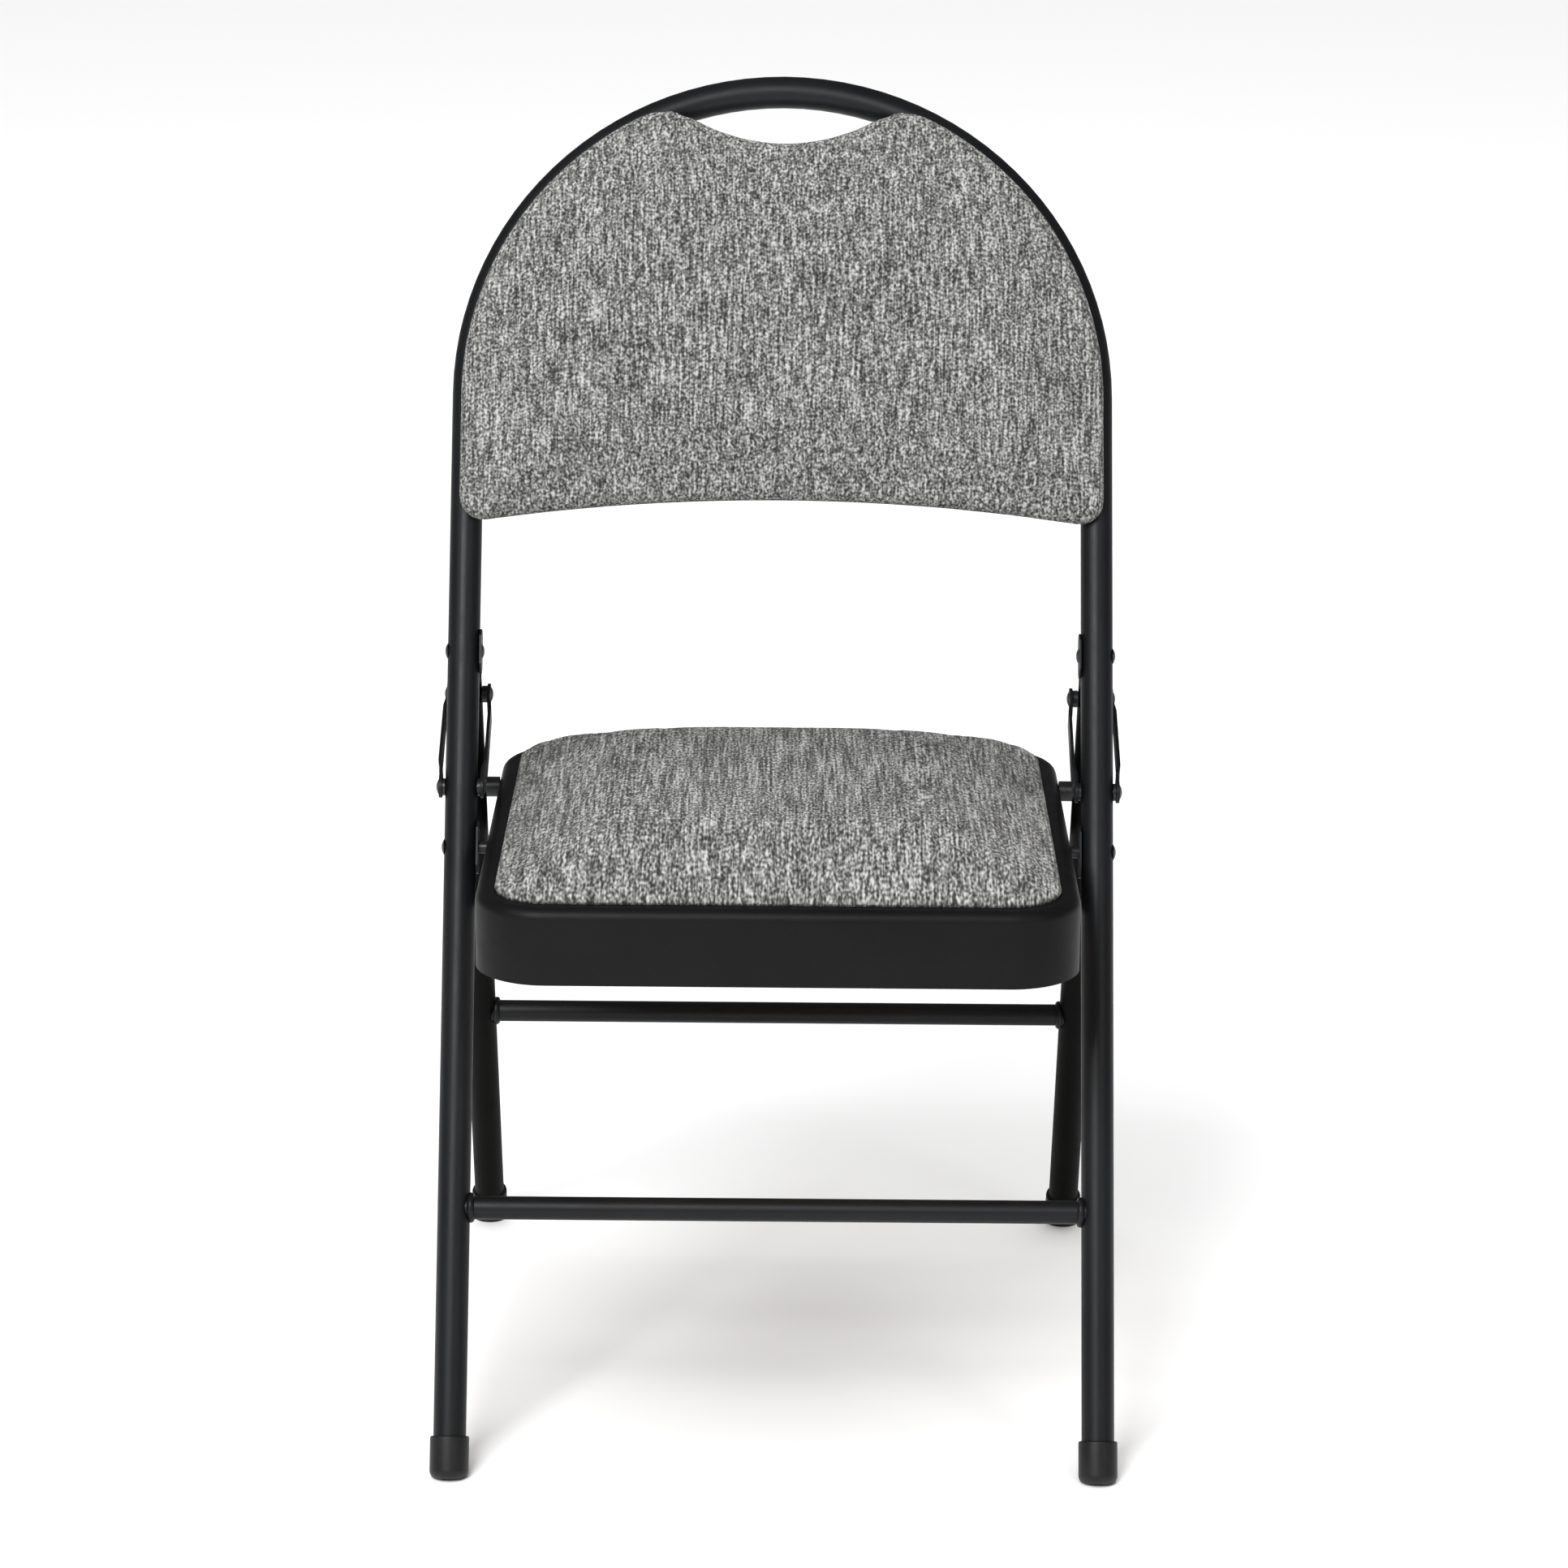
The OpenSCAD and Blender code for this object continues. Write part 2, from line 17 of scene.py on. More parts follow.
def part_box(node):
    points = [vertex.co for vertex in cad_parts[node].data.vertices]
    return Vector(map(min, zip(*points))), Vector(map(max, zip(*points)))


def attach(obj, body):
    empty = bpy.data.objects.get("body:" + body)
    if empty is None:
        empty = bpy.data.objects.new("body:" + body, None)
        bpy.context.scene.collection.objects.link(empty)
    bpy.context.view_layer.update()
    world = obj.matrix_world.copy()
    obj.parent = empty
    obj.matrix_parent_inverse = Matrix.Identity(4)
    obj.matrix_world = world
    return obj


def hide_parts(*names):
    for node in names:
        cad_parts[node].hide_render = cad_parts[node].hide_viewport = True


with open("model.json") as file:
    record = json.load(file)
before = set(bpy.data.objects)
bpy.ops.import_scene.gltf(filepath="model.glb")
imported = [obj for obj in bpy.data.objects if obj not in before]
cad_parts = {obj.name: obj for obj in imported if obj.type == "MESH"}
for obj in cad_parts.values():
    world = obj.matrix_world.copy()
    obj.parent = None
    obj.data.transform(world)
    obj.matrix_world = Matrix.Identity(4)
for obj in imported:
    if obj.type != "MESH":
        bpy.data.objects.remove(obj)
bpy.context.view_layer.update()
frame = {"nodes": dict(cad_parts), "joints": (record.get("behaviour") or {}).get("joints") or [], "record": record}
MM = 0.001
nodes = frame["nodes"]
joint_at = {j["name"]: np.array(j["pos_m"]) for j in frame["joints"]}

# %% [markdown]
# ## The two planes the chair is built on
#
# The front tubes and the backrest lie in one leaning plane. Both of its pivots are on the
# tubes' axes, so the line through them gives the lean. The tubes' box gives the rest: how far
# the bend's axis lies from the middle, and how high its centre is.
# A point in the plane is (x, s, n): across, up along the tubes, and out of the back.

# %% The leaning plane of the front frame
step = joint_at["link_fold"] - joint_at["seat_fold"]
LEAN = np.arctan2(step[1], step[2])
FOOT_Y = joint_at["seat_fold"][1] - joint_at["seat_fold"][2] * np.tan(LEAN)
tube_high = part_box("front_frame")[1]
TUBE_R = 11.1 * MM                        # half of a 22.2 mm tube
ARCH_R = tube_high[0] - TUBE_R
ARCH_S = (tube_high[2] - TUBE_R) / np.cos(LEAN) - ARCH_R


def from_plane(x, s, n):
    """Plane coordinates to chair coordinates: s climbs along the lean, n goes to the rear."""
    y = FOOT_Y + s * np.sin(LEAN) + n * np.cos(LEAN)
    z = s * np.cos(LEAN) - n * np.sin(LEAN)
    return np.stack(np.broadcast_arrays(x, y, z), axis=-1)


print("lean", round(float(np.degrees(LEAN)), 2), "arch centre", round(float(ARCH_S), 4))

# %% [markdown]
# ## From arrays to meshes
#
# Every new piece is a grid of points: rows along one parameter and columns along the other.
# The faces follow from the grid's shape alone, so one helper serves them all.

# %% Grid helpers


def grid_faces(rows, cols, wrap_rows=False, wrap_cols=True):
    """Quads between neighbouring points of a rows x cols grid, numbered row by row."""
    r = np.arange(rows if wrap_rows else rows - 1)
    c = np.arange(cols if wrap_cols else cols - 1)
    r, c = np.meshgrid(r, c, indexing="ij")
    r2, c2 = (r + 1) % rows, (c + 1) % cols
    quads = np.stack([r * cols + c, r * cols + c2, r2 * cols + c2, r2 * cols + c], axis=-1)
    return quads.reshape(-1, 4)


def make_mesh(name, points, faces, smooth=True):
    """A mesh object at the origin from an (n, 3) array and a list of faces."""
    mesh = bpy.data.meshes.new(name)
    mesh.from_pydata(np.asarray(points, float).reshape(-1, 3).tolist(), [],
                     [list(map(int, f)) for f in faces])
    mesh.update()
    mesh.polygons.foreach_set("use_smooth", np.full(len(mesh.polygons), smooth))
    piece = bpy.data.objects.new(name, mesh)
    bpy.context.scene.collection.objects.link(piece)
    face_outwards(piece)
    return piece


def face_outwards(piece):
    """Turns the faces over if the mesh encloses a negative volume."""
    mesh = piece.data
    mesh.calc_loop_triangles()
    tris = np.array([t.vertices[:] for t in mesh.loop_triangles])
    co = read_points(mesh)
    volume = np.einsum("ij,ij->i", co[tris[:, 0]], np.cross(co[tris[:, 1]], co[tris[:, 2]])).sum()
    if volume < 0:
        mesh.flip_normals()


def read_points(mesh):
    """The mesh's vertices as an (n, 3) array."""
    co = np.empty(len(mesh.vertices) * 3)
    mesh.vertices.foreach_get("co", co)
    return co.reshape(-1, 3)


def write_points(mesh, co):
    """Puts an (n, 3) array back into the mesh's vertices."""
    mesh.vertices.foreach_set("co", np.asarray(co, float).ravel())
    mesh.update()


def apply_modifiers(piece):
    """Replaces the piece's mesh by what its modifiers make of it."""
    evaluated = piece.evaluated_get(bpy.context.evaluated_depsgraph_get())
    mesh = bpy.data.meshes.new_from_object(evaluated)
    piece.modifiers.clear()
    old, piece.data = piece.data, mesh
    bpy.data.meshes.remove(old)


print("a 3 x 4 grid, closed in one direction, has", len(grid_faces(3, 4)), "faces")

# %% [markdown]
# ## Finishes
#
# Each finish is a small node tree that reads Object coordinates, so the pattern stays with
# the piece. Powder coat is black paint baked on as a powder: nearly black, half glossy, and
# never quite flat, because the powder flows into a fine orange peel.

# %% Helpers that wire nodes


def new_material(name):
    """A material with its nodes cleared down to the shader, and that shader."""
    material = bpy.data.materials.new(name)
    material.use_nodes = True
    tree = material.node_tree
    return material, tree, tree.nodes["Principled BSDF"]


def object_coords(tree, scale=(1, 1, 1), turn=(0, 0, 0)):
    """Object coordinates through a Mapping node: turned, then stretched by scale."""
    coords = tree.nodes.new("ShaderNodeTexCoord")
    turned = tree.nodes.new("ShaderNodeMapping")
    turned.inputs["Rotation"].default_value = turn
    scaled = tree.nodes.new("ShaderNodeMapping")
    scaled.inputs["Scale"].default_value = scale
    tree.links.new(coords.outputs["Object"], turned.inputs["Vector"])
    tree.links.new(turned.outputs["Vector"], scaled.inputs["Vector"])
    return scaled.outputs["Vector"]


def noise(tree, vector, scale, detail=2.0, rough=0.5):
    """Noise between 0 and 1 at so many lumps a metre."""
    node = tree.nodes.new("ShaderNodeTexNoise")
    node.inputs["Scale"].default_value = scale
    node.inputs["Detail"].default_value = detail
    node.inputs["Roughness"].default_value = rough
    tree.links.new(vector, node.inputs["Vector"])
    return node.outputs["Fac"]


def math_node(tree, operation, a, b=None, c=None):
    """One Math node. Each input is a socket or a number."""
    node = tree.nodes.new("ShaderNodeMath")
    node.operation = operation
    for socket, value in zip(node.inputs, (a, b, c)):
        if value is None:
            continue
        if isinstance(value, (int, float)):
            socket.default_value = value
        else:
            tree.links.new(value, socket)
    return node.outputs[0]


def ramp(tree, factor, stops):
    """A colour ramp with stops of (position, (r, g, b)) in linear light."""
    node = tree.nodes.new("ShaderNodeValToRGB")
    elements = node.color_ramp.elements
    while len(elements) < len(stops):
        elements.new(0.5)
    for element, (place, colour) in zip(elements, stops):
        element.position = place
        element.color = (*colour, 1)
    tree.links.new(factor, node.inputs["Fac"])
    return node.outputs["Color"]


def add_bump(tree, shader, height, distance, strength=1.0):
    """Feeds a height, in metres once it is times distance, to the shader's normal."""
    node = tree.nodes.new("ShaderNodeBump")
    node.inputs["Strength"].default_value = strength
    node.inputs["Distance"].default_value = distance
    tree.links.new(height, node.inputs["Height"])
    tree.links.new(node.outputs["Normal"], shader.inputs["Normal"])


# %% [markdown]
# ## Hard finishes
#
# One function makes all coats of paint, because they differ only in tone and gloss: the front
# tubes have a faint blue shine, and the pan is duller. The rear legs get a darker, duller copy of
# the same paint, which is painted shade for the seat's shadow over them. The rubber caps are
# moulded and gather dust. The rivets lose their paint on the domes. The screws are
# zinc-plated, and the board under the seat is raw plywood, as nobody sees it in use.

# %% Powder coat, rubber, rivet, zinc and wood finishes


def powder_coat(name, dark, light, rough, shine, peel=0.00006):
    """Baked black powder: two near-blacks, a fine orange peel, and gloss that wanders."""
    material, tree, shader = new_material(name)
    coords = object_coords(tree)
    patch = noise(tree, coords, 14, 3)
    tree.links.new(ramp(tree, patch, [(0.35, dark), (0.65, light)]), shader.inputs["Base Color"])
    grain = noise(tree, coords, 900, 3, 0.6)
    wander = math_node(tree, "MULTIPLY_ADD", noise(tree, coords, 60, 4), 0.16, rough - 0.08)
    tree.links.new(math_node(tree, "MULTIPLY_ADD", grain, 0.06, wander), shader.inputs["Roughness"])
    shader.inputs["Specular IOR Level"].default_value = shine
    add_bump(tree, shader, grain, peel)
    return material


def rubber_finish(name):
    """Moulded rubber: dull black, dusted a little grey, with a soft fine texture."""
    material, tree, shader = new_material(name)
    coords = object_coords(tree)
    dust = noise(tree, coords, 45, 5, 0.65)
    stops = [(0.35, (0.0045, 0.0045, 0.0045)), (0.75, (0.011, 0.011, 0.0105))]
    tree.links.new(ramp(tree, dust, stops), shader.inputs["Base Color"])
    shader.inputs["Specular IOR Level"].default_value = 0.28
    tree.links.new(math_node(tree, "MULTIPLY_ADD", dust, 0.2, 0.38), shader.inputs["Roughness"])
    add_bump(tree, shader, noise(tree, coords, 1400, 2), 0.00005)
    return material


def rivet_finish(name):
    """Black rivets: the paint is worn thin on the domes, so dull steel shows in specks."""
    material, tree, shader = new_material(name)
    coords = object_coords(tree)
    wear = noise(tree, coords, 420, 4, 0.7)
    tree.links.new(ramp(tree, wear, [(0.6, (0.008, 0.008, 0.009)), (0.78, (0.035, 0.035, 0.036))]),
                   shader.inputs["Base Color"])
    shader.inputs["Metallic"].default_value = 0.2
    tree.links.new(math_node(tree, "MULTIPLY_ADD", wear, 0.2, 0.26), shader.inputs["Roughness"])
    add_bump(tree, shader, wear, 0.00005)
    return material


def zinc_finish(name):
    """Zinc-plated screws: pale grey metal with faint cloudy marks."""
    material, tree, shader = new_material(name)
    coords = object_coords(tree)
    cloud = noise(tree, coords, 300, 4, 0.6)
    tree.links.new(ramp(tree, cloud, [(0.3, (0.32, 0.32, 0.33)), (0.7, (0.55, 0.55, 0.54))]),
                   shader.inputs["Base Color"])
    shader.inputs["Metallic"].default_value = 1.0
    tree.links.new(math_node(tree, "MULTIPLY_ADD", cloud, 0.2, 0.28), shader.inputs["Roughness"])
    return material


def plywood_finish(name):
    """Raw plywood: pale veneer with long grain lines and darker streaks."""
    material, tree, shader = new_material(name)
    grain = noise(tree, object_coords(tree, (70, 6, 6)), 6, 6, 0.65)
    fibre = noise(tree, object_coords(tree, (700, 25, 25)), 2, 3)
    mixed = math_node(tree, "MULTIPLY_ADD", fibre, 0.3, math_node(tree, "MULTIPLY", grain, 0.7))
    tree.links.new(ramp(tree, mixed, [(0.3, (0.26, 0.15, 0.07)), (0.55, (0.47, 0.32, 0.17)),
                                      (0.75, (0.58, 0.43, 0.26))]), shader.inputs["Base Color"])
    shader.inputs["Roughness"].default_value = 0.75
    add_bump(tree, shader, mixed, 0.0002)
    return material


frame_paint = powder_coat("frame_paint", (0.0032, 0.0035, 0.0042), (0.0050, 0.0054, 0.0064),
                          0.43, 0.24)
pan_paint = powder_coat("pan_paint", (0.0024, 0.0024, 0.0026), (0.0038, 0.0038, 0.0040),
                         0.46, 0.14)
# A darker, duller copy of the paint for the rear legs: painted shade, standing in for the seat's shadow over them.
painted_shade_coat = powder_coat("painted_shade_coat", (0.0012, 0.0012, 0.0010), (0.0022, 0.0022, 0.0019),
                          0.50, 0.07)
rubber = rubber_finish("rubber")
rivet_steel = rivet_finish("rivet_steel")
screw_steel = zinc_finish("screw_steel")
plywood = plywood_finish("plywood")
hard = (frame_paint, pan_paint, painted_shade_coat, rubber, rivet_steel, screw_steel, plywood)
print("made", [material.name for material in hard])

# %% [markdown]
# ## The heather fabric
#
# The cloth is woven from yarns twisted out of light and dark fibres. Close up it is a salt
# and pepper of specks about 2 mm long, drawn out into thin upright streaks where one yarn
# stays light or dark for a while. Three noises at three sizes do this: streaks, specks and a
# broad cloud. On the seat the streaks run from front to back, and the cloth is pulled longer.
# The rear of the backrest has a plain black lining instead, as nobody sits against it.

# %% Fabric and lining finishes


def heather_fabric(name, turn, stretch=1, drop=1):
    """Specks plus streaks along the second axis, sorted into five slightly warm greys.

    The tone is 0.48 of the specks, 0.46 of the streaks and 0.06 of the cloud. stretch
    lengthens specks and streaks along the second axis, and drop lengthens them downwards.
    """
    material, tree, shader = new_material(name)
    specks = noise(tree, object_coords(tree, (620, 540 / stretch, 620 / drop), turn), 1, 0)
    long_way = (560, 42 / stretch, 560 / drop ** 3)
    streaks = noise(tree, object_coords(tree, long_way, turn), 1, 1, 0.5)
    cloud = noise(tree, object_coords(tree, (45, 12, 45), turn), 1, 2, 0.5)
    tone = math_node(tree, "MULTIPLY", specks, 0.48)
    tone = math_node(tree, "MULTIPLY_ADD", streaks, 0.46, tone)
    tone = math_node(tree, "MULTIPLY_ADD", cloud, 0.06, tone)
    greys = [(0.32, 0.022), (0.41, 0.052), (0.5, 0.122), (0.59, 0.245), (0.68, 0.39)]
    warm = [(place, (g * 1.01, g, g * 0.955)) for place, g in greys]
    tree.links.new(ramp(tree, tone, warm), shader.inputs["Base Color"])
    shader.inputs["Roughness"].default_value = 0.92
    shader.inputs["Sheen Weight"].default_value = 0.06
    shader.inputs["Sheen Roughness"].default_value = 0.5
    shader.inputs["Specular IOR Level"].default_value = 0.12
    add_bump(tree, shader, tone, 0.0008, 0.6)
    return material


def lining_fabric(name):
    """Plain black non-woven lining, pressed with a fine dimple pattern."""
    material, tree, shader = new_material(name)
    coords = object_coords(tree, turn=(LEAN_TURN, 0, 0))
    fibre = noise(tree, coords, 500, 4, 0.7)
    tree.links.new(ramp(tree, fibre, [(0.35, (0.012, 0.012, 0.012)), (0.7, (0.04, 0.04, 0.04))]),
                   shader.inputs["Base Color"])
    shader.inputs["Roughness"].default_value = 0.9
    add_bump(tree, shader, fibre, 0.0003)
    return material


LEAN_TURN = float(LEAN) - np.pi / 2      # turns the leaning plane flat, so s runs along Y
back_fabric = heather_fabric("back_fabric", (LEAN_TURN, 0, 0))
seat_fabric = heather_fabric("seat_fabric", (0, 0, 0), 2, 1.7)
lining = lining_fabric("lining")
print("fabric turned by", round(float(np.degrees(LEAN_TURN)), 2), "degrees for the backrest")

# %% [markdown]
# ## Finishes on the hard pieces
#
# Each piece carries the name of the material it is made of, so a table from that name to a
# finish dresses all of them. Their faces are flat triangles. Smooth shading joins them, except
# over sharp edges, where a split keeps a pressed or cut edge crisp.

# %% Give each piece its finish
FINISH = {"frame_paint": frame_paint, "pan_paint": pan_paint, "rivet_steel": rivet_steel,
          "rubber": rubber, "fabric": back_fabric, "lining": lining, "plywood": plywood,
          "screw_steel": screw_steel}


def smooth_node(node):
    """Welds the loose triangles and splits them again at real edges, so curves shade round."""
    mesh = node.data
    mesh.polygons.foreach_set("use_smooth", np.ones(len(mesh.polygons), bool))
    weld = node.modifiers.new("Weld", "WELD")
    weld.merge_threshold = 0.00001
    edges = node.modifiers.new("Edges", "EDGE_SPLIT")
    edges.split_angle = np.radians(32)


for part in frame["record"]["subparts"]:
    node = nodes[part["node"]]
    node.data.materials.clear()
    node.data.materials.append(FINISH[part["material_slot"]])
    smooth_node(node)
nodes["back_board"].data.materials[0] = back_fabric     # the fabric is turned over its edge
# The rear legs take that darker copy of the paint: painted shade for the seat's shadow, not a different paint.
for name in ("rear_leg_left", "rear_leg_right"):        # duller paint, in the seat's shade
    nodes[name].data.materials[0] = painted_shade_coat

# %% [markdown]
# ## Outlines as distances
#
# A pad's outline is cut from simple shapes: a round-topped panel, a hollow for the hand, a
# gently arched lower edge. Each shape is a signed distance, negative inside. The larger of
# two distances is their overlap, and a rounded larger-of gives the corner its radius.

# %% Signed distances


def rounded_max(a, b, radius):
    """The overlap of two distance fields, its corner rounded to a radius."""
    corner = np.hypot(np.maximum(a + radius, 0), np.maximum(b + radius, 0))
    return np.minimum(np.maximum(a, b), -radius) + corner


BACK_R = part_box("back_cushion")[1][0]
BACK_LOW = 657 * MM                       # the lower corners, up along the tubes
BACK_ARCH = 15 * MM                       # how far the lower edge arches above them
BACK_CORNER = 20 * MM
BACK_S = ARCH_S - 3.2 * MM                # centre of the round top
NOTCH_R = 125 * MM
NOTCH_S = ARCH_S + ARCH_R - TUBE_R - 30.5 * MM      # the hollow's floor
HORN_R = 19 * MM                          # the two tips beside the hollow


def back_distance(x, s):
    """Distance to the backrest's outline, negative inside."""
    above = np.maximum(s - BACK_S, 0)
    panel = np.hypot(x, above) - BACK_R
    reach = BACK_R - BACK_CORNER
    edge_r = (reach ** 2 + BACK_ARCH ** 2) / (2 * BACK_ARCH)
    below = edge_r - np.hypot(x, s - (BACK_LOW + BACK_ARCH - edge_r))
    hand = NOTCH_R - np.hypot(x, s - (NOTCH_S + NOTCH_R))
    return rounded_max(rounded_max(panel, below, BACK_CORNER), hand, HORN_R)


def outline_from(distance, centre, count):
    """Points where rays from the centre meet the outline, found by halving the interval."""
    angle = np.linspace(0, 2 * np.pi, count, endpoint=False)
    way = np.stack([np.cos(angle), np.sin(angle)])
    near, far = np.zeros(count), np.full(count, 0.5)
    for _ in range(32):
        half = (near + far) / 2
        inside = distance(centre[0] + way[0] * half, centre[1] + way[1] * half) < 0
        near, far = np.where(inside, half, near), np.where(inside, far, half)
    return np.stack([centre[0] + way[0] * near, centre[1] + way[1] * near])


print("hollow to lower edge", round(float(NOTCH_S - BACK_LOW - BACK_ARCH), 3), "m")

# %% [markdown]
# ## Pads
#
# A pad is foam on a board with fabric pulled over it. Rings run from the middle of its face
# to its edge, down round the side, and in again across its back. Each ring of the side is
# the outline shrunk by an inset, so one list of (inset, height) pairs is the whole profile.
# Cloth simulation then blows the pad up against its pinned edge, which gives the fabric the
# tension that a formula lacks.

# %% Pad surface


def quarter_round(inset, height, steps=7):
    """(inset, height) pairs on a quarter ellipse, from the face down to the widest place."""
    turn = np.linspace(np.pi / 2, 0, steps)
    return [(inset * (1 - np.cos(t)), height * np.sin(t)) for t in turn]


def pad_shell(distance, centre, crown, side, rings=60, count=480):
    """Rings of (a, b, h). Inside the first inset h = crown(a, b) above the first height."""
    def ring(inset):
        return outline_from(lambda a, b: distance(a, b) + inset, centre, count)

    middle = np.array(centre)[:, None, None]
    share = (np.linspace(0.02, 1, rings) ** 0.8)[:, None]
    face = middle + (ring(side[0][0])[:, None, :] - middle) * share
    rise = side[0][1] + crown(face[0], face[1])
    edges = np.stack([ring(inset) for inset, _ in side[1:]], axis=1)
    level = np.array([height for _, height in side[1:]])[:, None] * np.ones(count)
    back = middle + (edges[:, -1:, :] - middle) * np.array([0.9, 0.6, 0.3, 0.03])[:, None]
    flat = np.full((back.shape[1], count), side[-1][1])
    plane = np.concatenate([face, edges, back], axis=1)
    return np.stack([plane[0], plane[1], np.concatenate([rise, level, flat])], axis=-1)


def close_shell(name, points):
    """A closed mesh from rings, with a point at the middle of the first and the last ring."""
    rows, cols, _ = points.shape
    flat = points.reshape(-1, 3)
    faces = [tuple(f) for f in grid_faces(rows, cols)]
    caps = np.stack([points[0].mean(axis=0), points[-1].mean(axis=0)])
    turn = np.arange(cols)
    first = np.stack([np.full(cols, rows * cols), (turn + 1) % cols, turn], axis=-1)
    base = (rows - 1) * cols
    tip = np.full(cols, rows * cols + 1)
    last = np.stack([tip, base + turn, base + (turn + 1) % cols], axis=-1)
    return make_mesh(name, np.vstack([flat, caps]), faces + [tuple(f) for f in first]
                     + [tuple(f) for f in last])


PRESSURE = 3.0                            # of the foam against the cloth
CAP = 3.5 * MM                            # the furthest that a point may move
FRAMES = 20


def inflate(piece, pin_weight):
    """Simulates a voxel copy of the pad as cloth under pressure, then moves the pad with it."""
    copy = bpy.data.objects.new("cloth_copy", piece.data.copy())
    bpy.context.scene.collection.objects.link(copy)
    remesh = copy.modifiers.new("Remesh", "REMESH")
    remesh.mode = "VOXEL"
    remesh.voxel_size = 4.5 * MM
    apply_modifiers(copy)
    start = read_points(copy.data)
    group = copy.vertex_groups.new(name="pin")
    weights = pin_weight(start)
    for index in np.nonzero(weights > 0.01)[0]:
        group.add([int(index)], float(weights[index]), "REPLACE")
    cloth = copy.modifiers.new("Cloth", "CLOTH")
    cloth.settings.quality = 6
    cloth.settings.tension_stiffness = 18
    cloth.settings.compression_stiffness = 12
    cloth.settings.shear_stiffness = 8
    cloth.settings.bending_stiffness = 0.6
    cloth.settings.vertex_group_mass = "pin"
    cloth.settings.use_pressure = True
    cloth.settings.uniform_pressure_force = PRESSURE
    cloth.settings.effector_weights.gravity = 0
    cloth.collision_settings.use_collision = False
    cloth.point_cache.frame_start = 1
    cloth.point_cache.frame_end = FRAMES
    for number in range(1, FRAMES + 1):
        bpy.context.scene.frame_set(number)
    apply_modifiers(copy)
    bpy.context.scene.frame_set(1)
    moved = read_points(copy.data) - start
    length = np.linalg.norm(moved, axis=1, keepdims=True)
    moved *= np.minimum(1, CAP / np.maximum(length, 1e-9))
    old = copy.data
    bpy.data.objects.remove(copy)
    bpy.data.meshes.remove(old)
    write_points(piece.data, follow(read_points(piece.data), start, moved))
    print(piece.name, len(start), "cloth points moved on average mm", float(length.mean() / MM))


def follow(points, start, moved):
    """Each point moves by the mean of its eight nearest cloth points, near ones counting more."""
    tree = KDTree(len(start))
    for index, place in enumerate(start):
        tree.insert(place, index)
    tree.balance()
    found = [tree.find_n(point, 8) for point in points]
    near = np.array([[hit[1] for hit in hits] for hits in found])
    weight = 1 / (np.array([[hit[2] for hit in hits] for hits in found]) + 1 * MM)
    weight /= weight.sum(axis=1, keepdims=True)
    return points + np.einsum("ij,ijk->ik", weight, moved[near])


print("cloth runs for", FRAMES, "frames at pressure", PRESSURE)

# %% [markdown]
# ## The backrest pad
#
# A thin panel of foam lies on the front of a plywood board, and the fabric is pulled over both
# and turned over the board's edge. The face is nearly flat. It rises a few millimetres within
# a hand's width of the edge, so the rise is a function of the distance to the outline.

# %% The backrest pad
BACK_REAR = -TUBE_R - 0.1 * MM            # the fabric's rear face, just clear of the tubes
BACK_WIDEST = 3.9 * MM                    # its widest place, in front of that
BACK_ROUND = 9 * MM                       # radius of the edge between face and side


def back_crown(x, s):
    """A long gentle rise: crown times one less a decay with distance from the edge."""
    inside = np.maximum(-back_distance(x, s) - BACK_ROUND, 0)
    return 5.0 * MM * (1 - np.exp(-(inside / (24 * MM)) ** 1.4))


back_side = [(i, BACK_WIDEST + h) for i, h in quarter_round(BACK_ROUND, BACK_ROUND)]
back_side += [(0, 1.6 * MM), (0.5 * MM, 0.5 * MM), (1.6 * MM, 0), (16 * MM, 0)]
shell = pad_shell(back_distance, (0.0, 0.79), back_crown, back_side)
back_pad = close_shell("back_pad", from_plane(shell[..., 0], shell[..., 1],
                                              BACK_REAR - shell[..., 2]))


def plane_depth(co):
    """How far points lie in front of the tubes' plane."""
    return -((co[:, 1] - FOOT_Y) * np.cos(LEAN) - co[:, 2] * np.sin(LEAN))


def back_pin(co):
    """The fabric is held on the board's back and round its edge."""
    return np.clip((-BACK_REAR + 8 * MM - plane_depth(co)) / (4 * MM), 0, 1)


inflate(back_pad, back_pin)
back_pad.data.materials.append(back_fabric)
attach(back_pad, "front_frame")
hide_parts("back_cushion")
print("back_pad has", len(back_pad.data.polygons), "faces")

# %% [markdown]
# ## The seat pad
#
# Thick foam on a board fills the pan's top opening. Its outline is the pan's, set in by the
# pan's shoulder, and the fabric swells a little over that shoulder. The top is a dome with a
# flat middle, so high powers of x and y shape it, and a decay at the rim rounds the edge.

# %% The seat pad
pan_low, pan_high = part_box("seat_pan")
board_low, board_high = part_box("seat_board")
SEAT_ROUND = 11 * MM                      # the fabric's edge, seen from above
PAN_HALF = pan_high[0]
PAN_MID = (pan_low[1] + pan_high[1]) / 2
PAN_DEPTH = (pan_high[1] - pan_low[1]) / 2
FRONT_CORNER = 48 * MM
REAR_CORNER = 52 * MM
PAD_INSET = PAN_HALF - board_high[0] - 0.5 * MM
PAD_BASE = board_low[2] + 0.1 * MM
PAD_EDGE = pan_high[2] - PAD_BASE + 2 * MM


def pan_distance(x, y):
    """Distance to the pan's plan outline: a rectangle with larger corners at the back."""
    side = np.abs(x) - PAN_HALF
    ends = np.abs(y - PAN_MID) - PAN_DEPTH
    return np.where(y > PAN_MID, rounded_max(side, ends, REAR_CORNER),
                    rounded_max(side, ends, FRONT_CORNER))


def seat_distance(x, y):
    """The same outline, set in by the pan's shoulder."""
    return pan_distance(x, y) + PAD_INSET


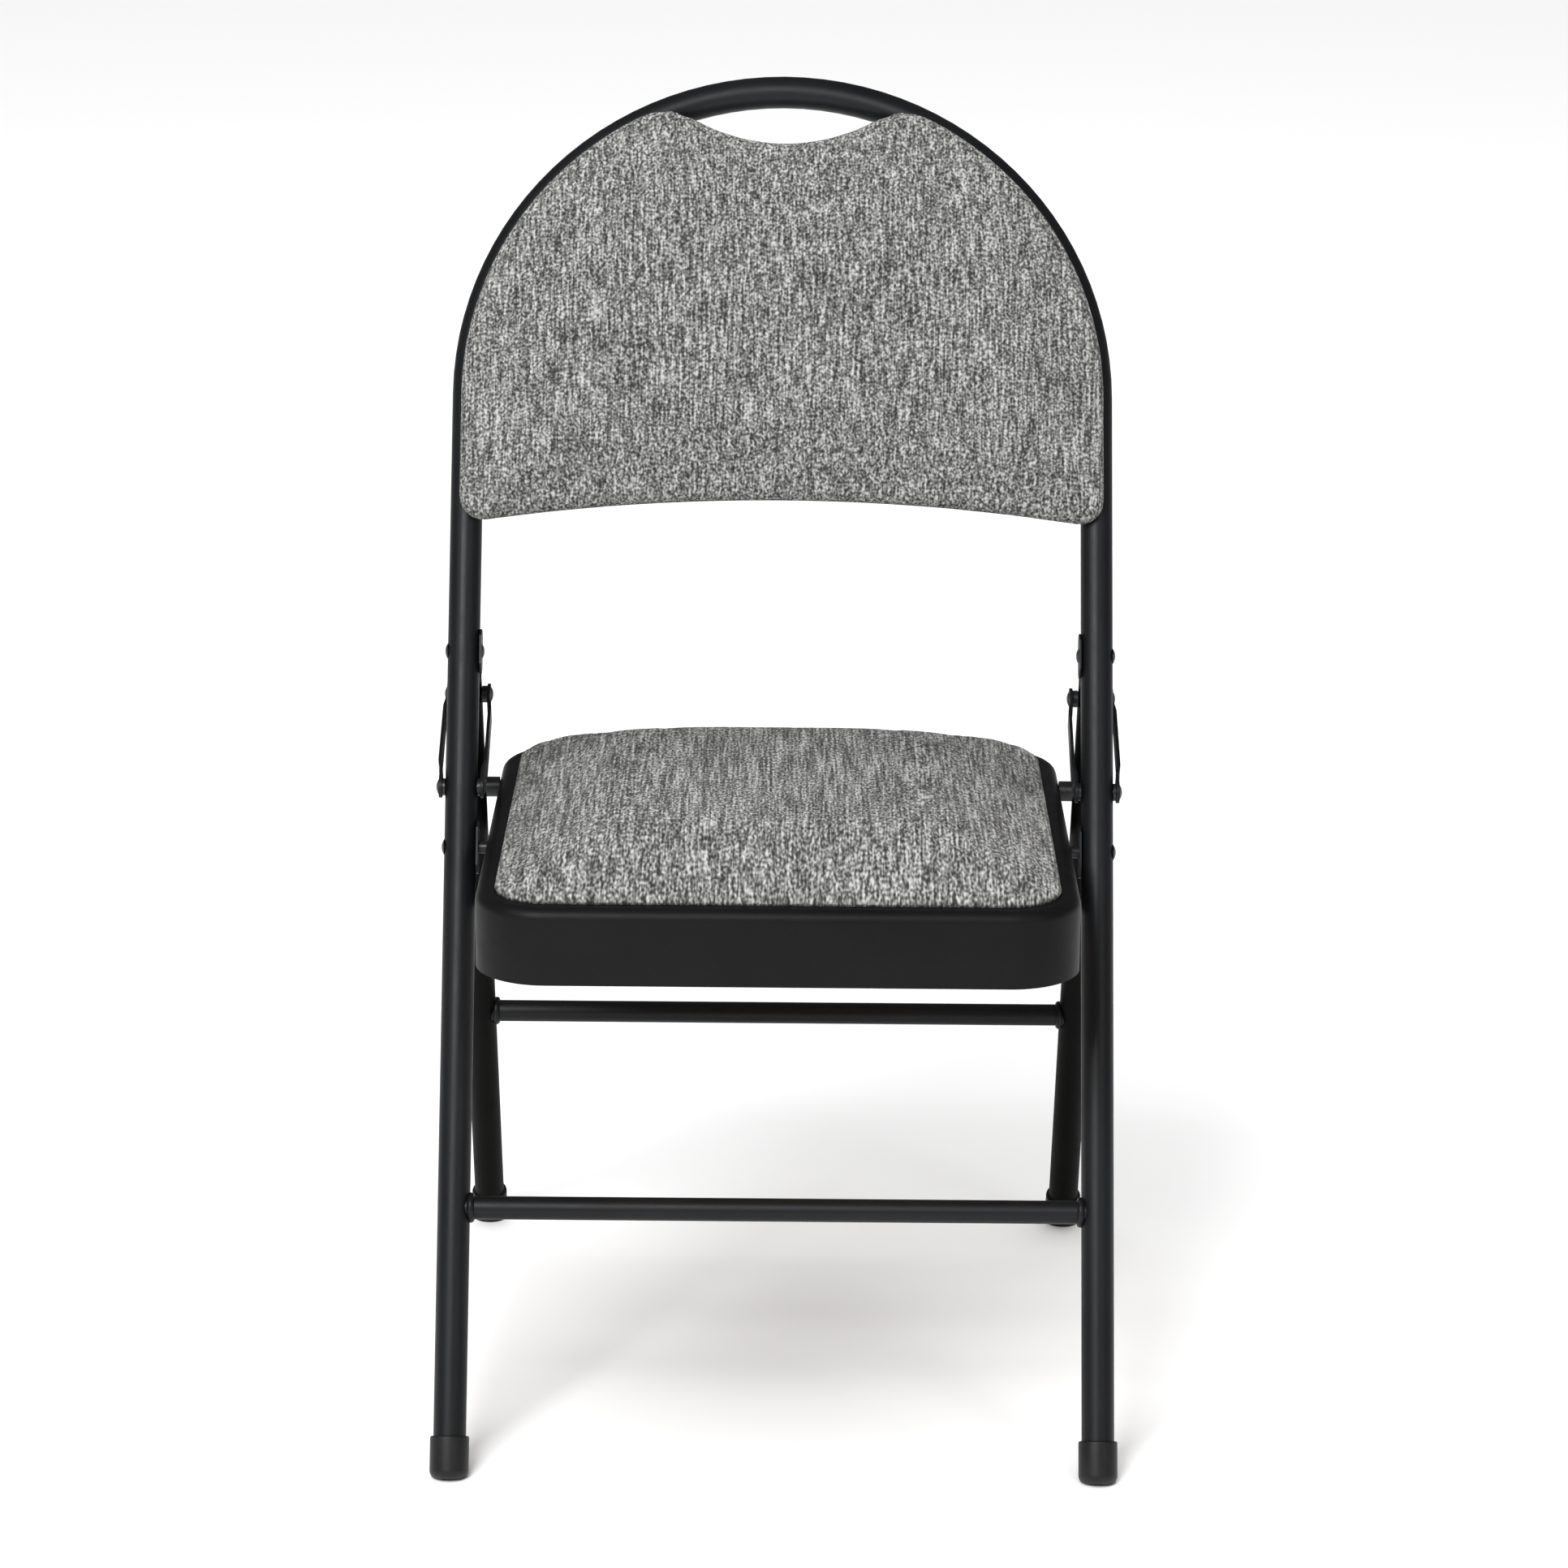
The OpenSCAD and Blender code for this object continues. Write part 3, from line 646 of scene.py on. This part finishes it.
def seat_crown(x, y):
    """A flat-topped dome: one less a high power of each distance from the middle, multiplied."""
    inside = np.maximum(-seat_distance(x, y) - 9 * MM, 0)
    across = 1 - np.abs(x / (PAN_HALF - PAD_INSET)) ** 4.6
    along = 1 - np.abs((y - PAN_MID) / (PAN_DEPTH - PAD_INSET)) ** 8.0
    return 24 * MM * across * along * (1 - np.exp(-inside / (14 * MM)))


OVERHANG = 1.6 * MM                       # the fabric swells this far over the pan's shoulder
seat_side = [(i - OVERHANG, PAD_EDGE + h) for i, h in quarter_round(SEAT_ROUND, 7 * MM)]
seat_side += [(-0.8 * OVERHANG, PAD_EDGE - 1.1 * MM), (0, PAD_EDGE - 2.1 * MM),
              (0, 1.5 * MM), (1.5 * MM, 0), (16 * MM, 0)]
shell = pad_shell(seat_distance, (0.0, PAN_MID), seat_crown, seat_side)
seat_pad = close_shell("seat_pad", shell + np.array([0, 0, PAD_BASE]))


def seat_pin(co):
    """The fabric is held where it disappears into the pan's recess."""
    return np.clip((pan_high[2] + 5 * MM - co[:, 2]) / (4 * MM), 0, 1)


inflate(seat_pad, seat_pin)
seat_pad.data.materials.append(seat_fabric)
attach(seat_pad, "seat")
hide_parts("seat_cushion")
print("seat_pad has", len(seat_pad.data.polygons), "faces, top at",
      round(float(read_points(seat_pad.data)[:, 2].max()), 4), "m")

# %% [markdown]
# ## Floor, light and camera
#
# A pale floor runs far out behind the chair, so it is the whole background. The front tubes
# lean back, so they mirror what is high in front of them. A soft square light there, a little
# to the left, draws one broad stripe down each tube and leaves its sides dark. A wide overhead
# sky whitens the floor and lights the seat, and one light behind the chair whitens the far
# floor.

# %% Floor


def build_floor():
    """One pale square under the feet, 40 m across."""
    half = 20.0                           # metres
    points = [(-half, -half, 0), (half, -half, 0), (half, half, 0), (-half, half, 0)]
    floor = make_mesh("floor", points, [(0, 1, 2, 3)], smooth=False)
    material, _, shader = new_material("floor_white")
    shader.inputs["Base Color"].default_value = (0.88, 0.88, 0.88, 1)
    shader.inputs["Roughness"].default_value = 0.9
    shader.inputs["Specular IOR Level"].default_value = 0.1
    floor.data.materials.append(material)


build_floor()

# %% Lights


def soft_light(name, place, aim, size, power, colour=(1, 1, 1)):
    """A square area light at a place, turned towards aim."""
    lamp = bpy.data.lights.new(name, "AREA")
    lamp.shape = "RECTANGLE"
    lamp.size, lamp.size_y = size
    lamp.energy = power
    lamp.color = colour
    light = bpy.data.objects.new(name, lamp)
    bpy.context.scene.collection.objects.link(light)
    way = np.array(aim, float) - np.array(place, float)
    flat = np.hypot(way[0], way[1])
    light.location = place
    light.rotation_euler = (np.arctan2(flat, -way[2]), 0, np.arctan2(way[1], way[0]) - np.pi / 2)


def light_the_room():
    """A key light high in front, a weak fill, a light on the far floor, and an overhead sky."""
    soft_light("key", (-1.15, -2.7, 2.75), (0, 0, 0.55), (1.6, 1.6), 150, (0.97, 0.985, 1.0))
    soft_light("backdrop", (0, 1.5, 3.2), (0, 6, 2.0), (3.0, 0.8), 60)
    soft_light("fill", (1.9, -2.4, 1.9), (0, 0, 0.5), (0.7, 1.2), 14, (1.0, 0.99, 0.98))
    lamp = bpy.data.lights.new("sky", "SUN")
    lamp.energy = 2.75
    lamp.angle = np.radians(70)
    sky = bpy.data.objects.new("sky", lamp)
    sky.visible_glossy = False
    bpy.context.scene.collection.objects.link(sky)
    world = bpy.data.worlds.new("studio")
    world.use_nodes = True
    world.node_tree.nodes["Background"].inputs["Color"].default_value = (1, 1, 1, 1)
    world.node_tree.nodes["Background"].inputs["Strength"].default_value = 0.14
    bpy.context.scene.world = world
    bpy.context.scene.view_settings.view_transform = "Standard"


light_the_room()

# %% Camera


def place_camera():
    """Level with a standing person's chest, 3 m in front, looking down at the seat."""
    lens = bpy.data.cameras.new("camera")
    lens.sensor_width = 36
    lens.lens = 109.5
    camera = bpy.data.objects.new("camera", lens)
    bpy.context.scene.collection.objects.link(camera)
    tilt, yaw, roll = np.radians([15.95, 0.0, 0.47])
    camera.location = (0.0033, FOOT_Y - 2.9669, 1.337)
    aim = Euler((np.pi / 2 - tilt, 0, yaw)).to_matrix()
    camera.rotation_euler = (aim @ Matrix.Rotation(roll, 3, "Z")).to_euler()
    bpy.context.scene.camera = camera


place_camera()
print("camera at", [round(v, 3) for v in bpy.context.scene.camera.location])
